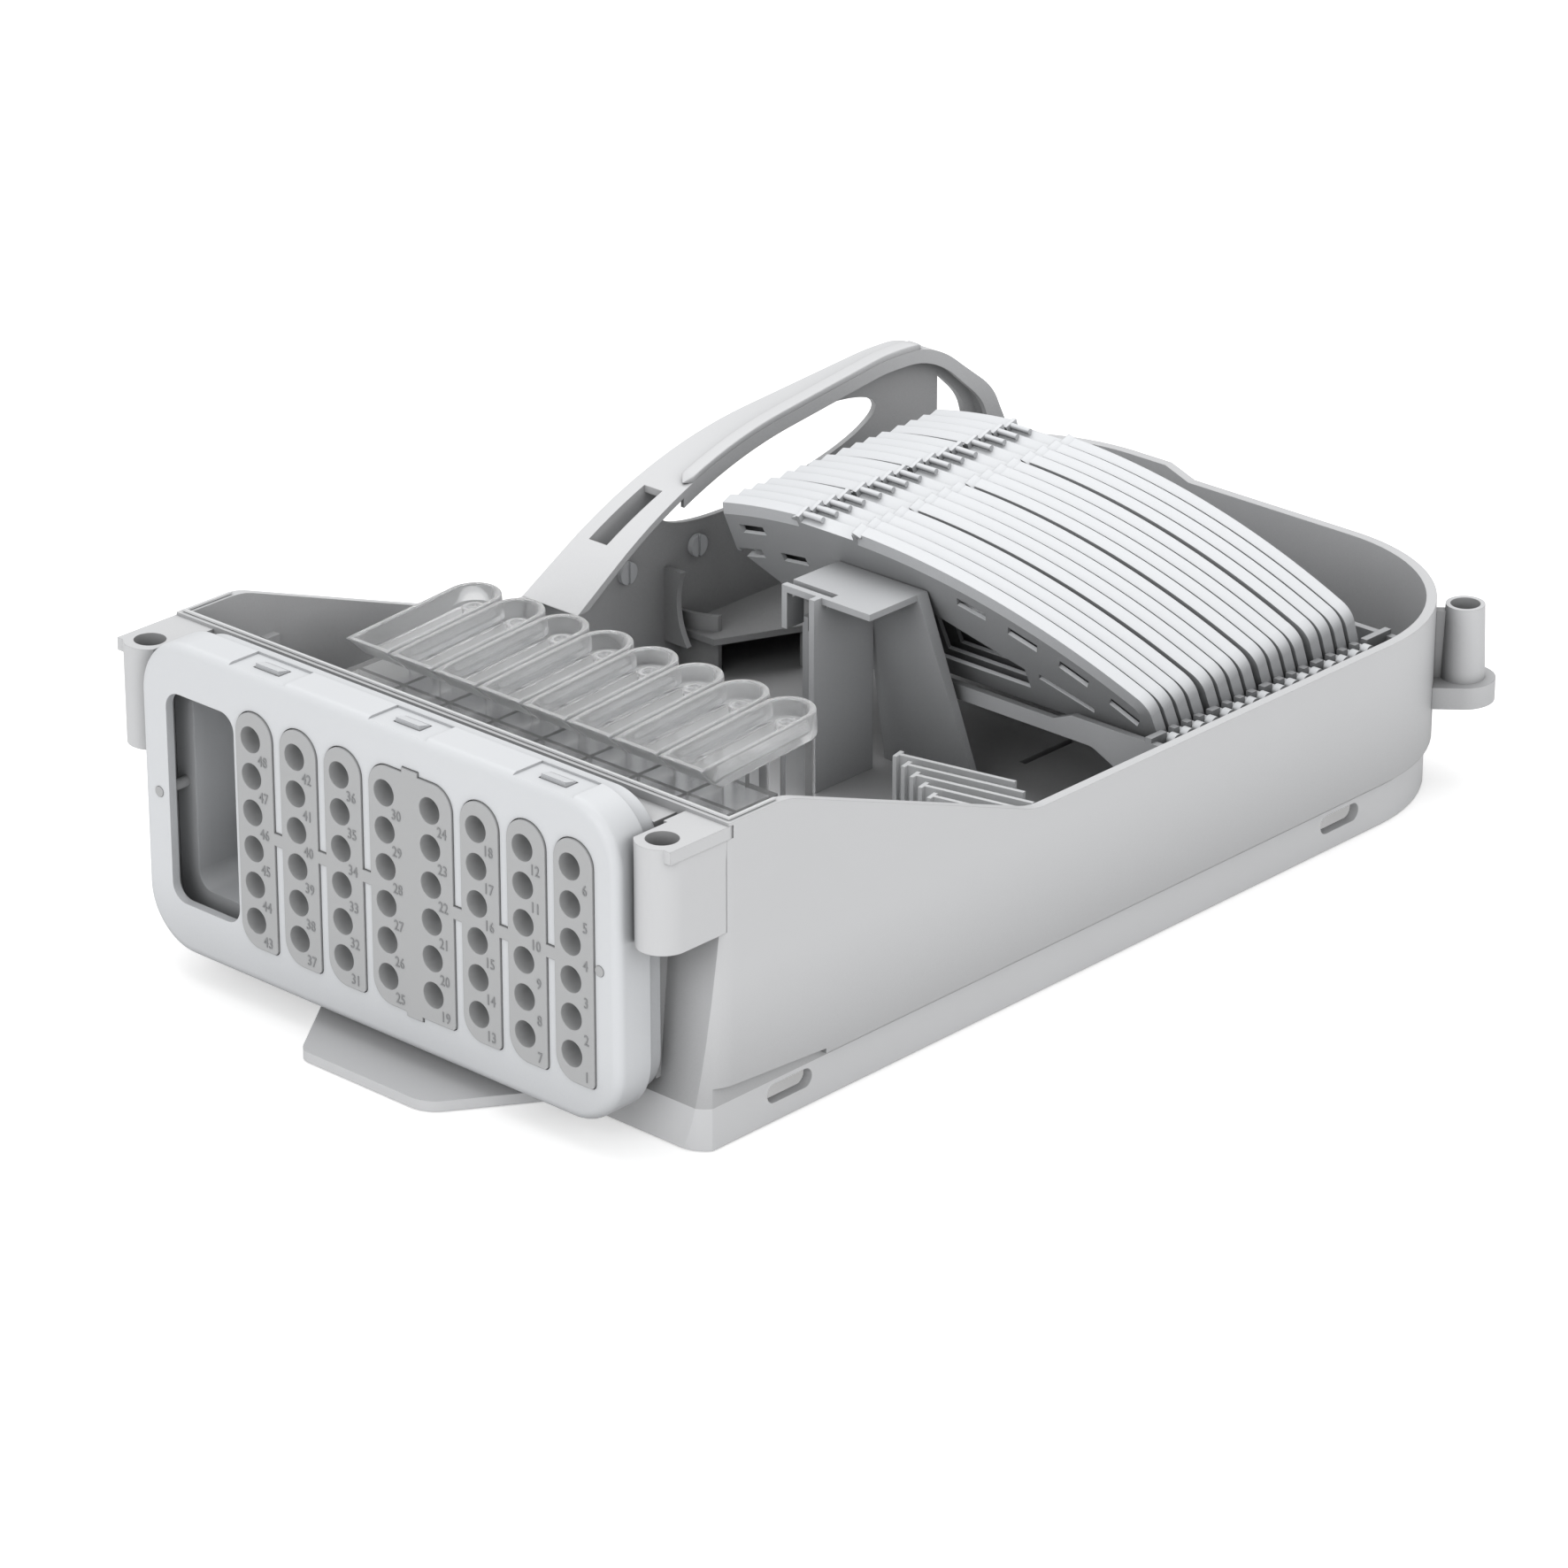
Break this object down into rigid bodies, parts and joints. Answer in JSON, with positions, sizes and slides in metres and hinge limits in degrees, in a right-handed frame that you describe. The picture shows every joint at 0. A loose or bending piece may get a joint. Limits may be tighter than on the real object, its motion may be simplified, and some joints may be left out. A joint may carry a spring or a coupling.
{
  "type": "fibre splice enclosure",
  "caption": "Open base of a wall or pole splice enclosure with a multi-port cable block, clear cable cups, hinged splice trays and an arched side guard.",
  "frame": {"origin": "centre of the footprint at the back mounting plane", "axes": "+Z away from the mounting plane, +X across, +Y from the cable block to the rounded end"},
  "size_m": [0.208, 0.3704, 0.0979],
  "materials": {
    "housing_plastic": "fine matt moulded, light grey",
    "block_plastic": "satin moulded, near white",
    "white_plastic": "satin moulded, white",
    "seal_rubber": "soft matt grey",
    "clear_plastic": "clear gloss"
  },
  "bodies": {
    "base": {"housing_base": "housing_plastic", "cover_ear_left": "housing_plastic", "cover_ear_right": "housing_plastic", "cover_boss_left": "housing_plastic", "cover_boss_right": "housing_plastic", "rim_seal": "seal_rubber", "gland_cover": "block_plastic", "gland_body": "block_plastic", "port_seal": "seal_rubber", "gland_pins": "seal_rubber", "cable_cup_1": "clear_plastic", "cable_cup_2": "clear_plastic", "cable_cup_3": "clear_plastic", "cable_cup_4": "clear_plastic", "cable_cup_5": "clear_plastic", "cable_cup_6": "clear_plastic", "cable_cup_7": "clear_plastic", "cable_cup_8": "clear_plastic", "cup_rack": "clear_plastic", "tray_carrier": "housing_plastic", "tray_prop": "housing_plastic", "fibre_comb": "housing_plastic", "side_guard": "white_plastic"},
    "splice_tray_01_leaf": {"splice_tray_01": "white_plastic"},
    "splice_tray_02_leaf": {"splice_tray_02": "white_plastic"},
    "splice_tray_03_leaf": {"splice_tray_03": "white_plastic"},
    "splice_tray_04_leaf": {"splice_tray_04": "white_plastic"},
    "splice_tray_05_leaf": {"splice_tray_05": "white_plastic"},
    "splice_tray_06_leaf": {"splice_tray_06": "white_plastic"},
    "splice_tray_07_leaf": {"splice_tray_07": "white_plastic"},
    "splice_tray_08_leaf": {"splice_tray_08": "white_plastic"},
    "splice_tray_09_leaf": {"splice_tray_09": "white_plastic"},
    "splice_tray_10_leaf": {"splice_tray_10": "white_plastic"},
    "splice_tray_11_leaf": {"splice_tray_11": "white_plastic"},
    "splice_tray_12_leaf": {"splice_tray_12": "white_plastic"},
    "splice_tray_13_leaf": {"splice_tray_13": "white_plastic"},
    "splice_tray_14_leaf": {"splice_tray_14": "white_plastic"},
    "splice_tray_15_leaf": {"splice_tray_15": "white_plastic"},
    "splice_tray_16_leaf": {"splice_tray_16": "white_plastic"},
    "fastener_front_body": {"guard_fastener_front": "housing_plastic"},
    "fastener_rear_body": {"guard_fastener_rear": "housing_plastic"}
  },
  "joints": [
    {"name": "splice_tray_01_hinge", "type": "hinge", "parent": "base", "child": "splice_tray_01_leaf", "pos_m": [0.0226, 0.04635, 0.048], "axis": [-1, 0, 0], "range_deg": [0, 42]},
    {"name": "splice_tray_02_hinge", "type": "hinge", "parent": "base", "child": "splice_tray_02_leaf", "pos_m": [0.0226, 0.05175, 0.048], "axis": [-1, 0, 0], "range_deg": [0, 42]},
    {"name": "splice_tray_03_hinge", "type": "hinge", "parent": "base", "child": "splice_tray_03_leaf", "pos_m": [0.0226, 0.05715, 0.048], "axis": [-1, 0, 0], "range_deg": [0, 42]},
    {"name": "splice_tray_04_hinge", "type": "hinge", "parent": "base", "child": "splice_tray_04_leaf", "pos_m": [0.0226, 0.06255, 0.048], "axis": [-1, 0, 0], "range_deg": [0, 42]},
    {"name": "splice_tray_05_hinge", "type": "hinge", "parent": "base", "child": "splice_tray_05_leaf", "pos_m": [0.0226, 0.06922, 0.048], "axis": [-1, 0, 0], "range_deg": [0, 42]},
    {"name": "splice_tray_06_hinge", "type": "hinge", "parent": "base", "child": "splice_tray_06_leaf", "pos_m": [0.0226, 0.07462, 0.048], "axis": [-1, 0, 0], "range_deg": [0, 42]},
    {"name": "splice_tray_07_hinge", "type": "hinge", "parent": "base", "child": "splice_tray_07_leaf", "pos_m": [0.0226, 0.08002, 0.048], "axis": [-1, 0, 0], "range_deg": [0, 42]},
    {"name": "splice_tray_08_hinge", "type": "hinge", "parent": "base", "child": "splice_tray_08_leaf", "pos_m": [0.0226, 0.08542, 0.048], "axis": [-1, 0, 0], "range_deg": [0, 42]},
    {"name": "splice_tray_09_hinge", "type": "hinge", "parent": "base", "child": "splice_tray_09_leaf", "pos_m": [0.0226, 0.09209, 0.048], "axis": [-1, 0, 0], "range_deg": [0, 42]},
    {"name": "splice_tray_10_hinge", "type": "hinge", "parent": "base", "child": "splice_tray_10_leaf", "pos_m": [0.0226, 0.09749, 0.048], "axis": [-1, 0, 0], "range_deg": [0, 42]},
    {"name": "splice_tray_11_hinge", "type": "hinge", "parent": "base", "child": "splice_tray_11_leaf", "pos_m": [0.0226, 0.10289, 0.048], "axis": [-1, 0, 0], "range_deg": [0, 42]},
    {"name": "splice_tray_12_hinge", "type": "hinge", "parent": "base", "child": "splice_tray_12_leaf", "pos_m": [0.0226, 0.10829, 0.048], "axis": [-1, 0, 0], "range_deg": [0, 42]},
    {"name": "splice_tray_13_hinge", "type": "hinge", "parent": "base", "child": "splice_tray_13_leaf", "pos_m": [0.0226, 0.11496, 0.048], "axis": [-1, 0, 0], "range_deg": [0, 42]},
    {"name": "splice_tray_14_hinge", "type": "hinge", "parent": "base", "child": "splice_tray_14_leaf", "pos_m": [0.0226, 0.12036, 0.048], "axis": [-1, 0, 0], "range_deg": [0, 42]},
    {"name": "splice_tray_15_hinge", "type": "hinge", "parent": "base", "child": "splice_tray_15_leaf", "pos_m": [0.0226, 0.12576, 0.048], "axis": [-1, 0, 0], "range_deg": [0, 42]},
    {"name": "splice_tray_16_hinge", "type": "hinge", "parent": "base", "child": "splice_tray_16_leaf", "pos_m": [0.0226, 0.13116, 0.048], "axis": [-1, 0, 0], "range_deg": [0, 42]},
    {"name": "guard_fastener_front_turn", "type": "hinge", "parent": "base", "child": "fastener_front_body", "pos_m": [-0.099, 0.02275, 0.0532], "axis": [1, 0, 0], "range_deg": [0, 90]},
    {"name": "guard_fastener_rear_turn", "type": "hinge", "parent": "base", "child": "fastener_rear_body", "pos_m": [-0.099, 0.05225, 0.0532], "axis": [1, 0, 0], "range_deg": [0, 90]}
  ],
  "couplings": [
    {"joint": "splice_tray_02_hinge", "follows": "splice_tray_01_hinge", "ratio": 1},
    {"joint": "splice_tray_03_hinge", "follows": "splice_tray_01_hinge", "ratio": 1},
    {"joint": "splice_tray_04_hinge", "follows": "splice_tray_01_hinge", "ratio": 1},
    {"joint": "splice_tray_05_hinge", "follows": "splice_tray_01_hinge", "ratio": 1},
    {"joint": "splice_tray_06_hinge", "follows": "splice_tray_01_hinge", "ratio": 1},
    {"joint": "splice_tray_07_hinge", "follows": "splice_tray_01_hinge", "ratio": 1},
    {"joint": "splice_tray_08_hinge", "follows": "splice_tray_01_hinge", "ratio": 1},
    {"joint": "splice_tray_09_hinge", "follows": "splice_tray_01_hinge", "ratio": 1},
    {"joint": "splice_tray_10_hinge", "follows": "splice_tray_01_hinge", "ratio": 1},
    {"joint": "splice_tray_11_hinge", "follows": "splice_tray_01_hinge", "ratio": 1},
    {"joint": "splice_tray_12_hinge", "follows": "splice_tray_01_hinge", "ratio": 1},
    {"joint": "splice_tray_13_hinge", "follows": "splice_tray_01_hinge", "ratio": 1},
    {"joint": "splice_tray_14_hinge", "follows": "splice_tray_01_hinge", "ratio": 1},
    {"joint": "splice_tray_15_hinge", "follows": "splice_tray_01_hinge", "ratio": 1},
    {"joint": "splice_tray_16_hinge", "follows": "splice_tray_01_hinge", "ratio": 1}
  ]
}
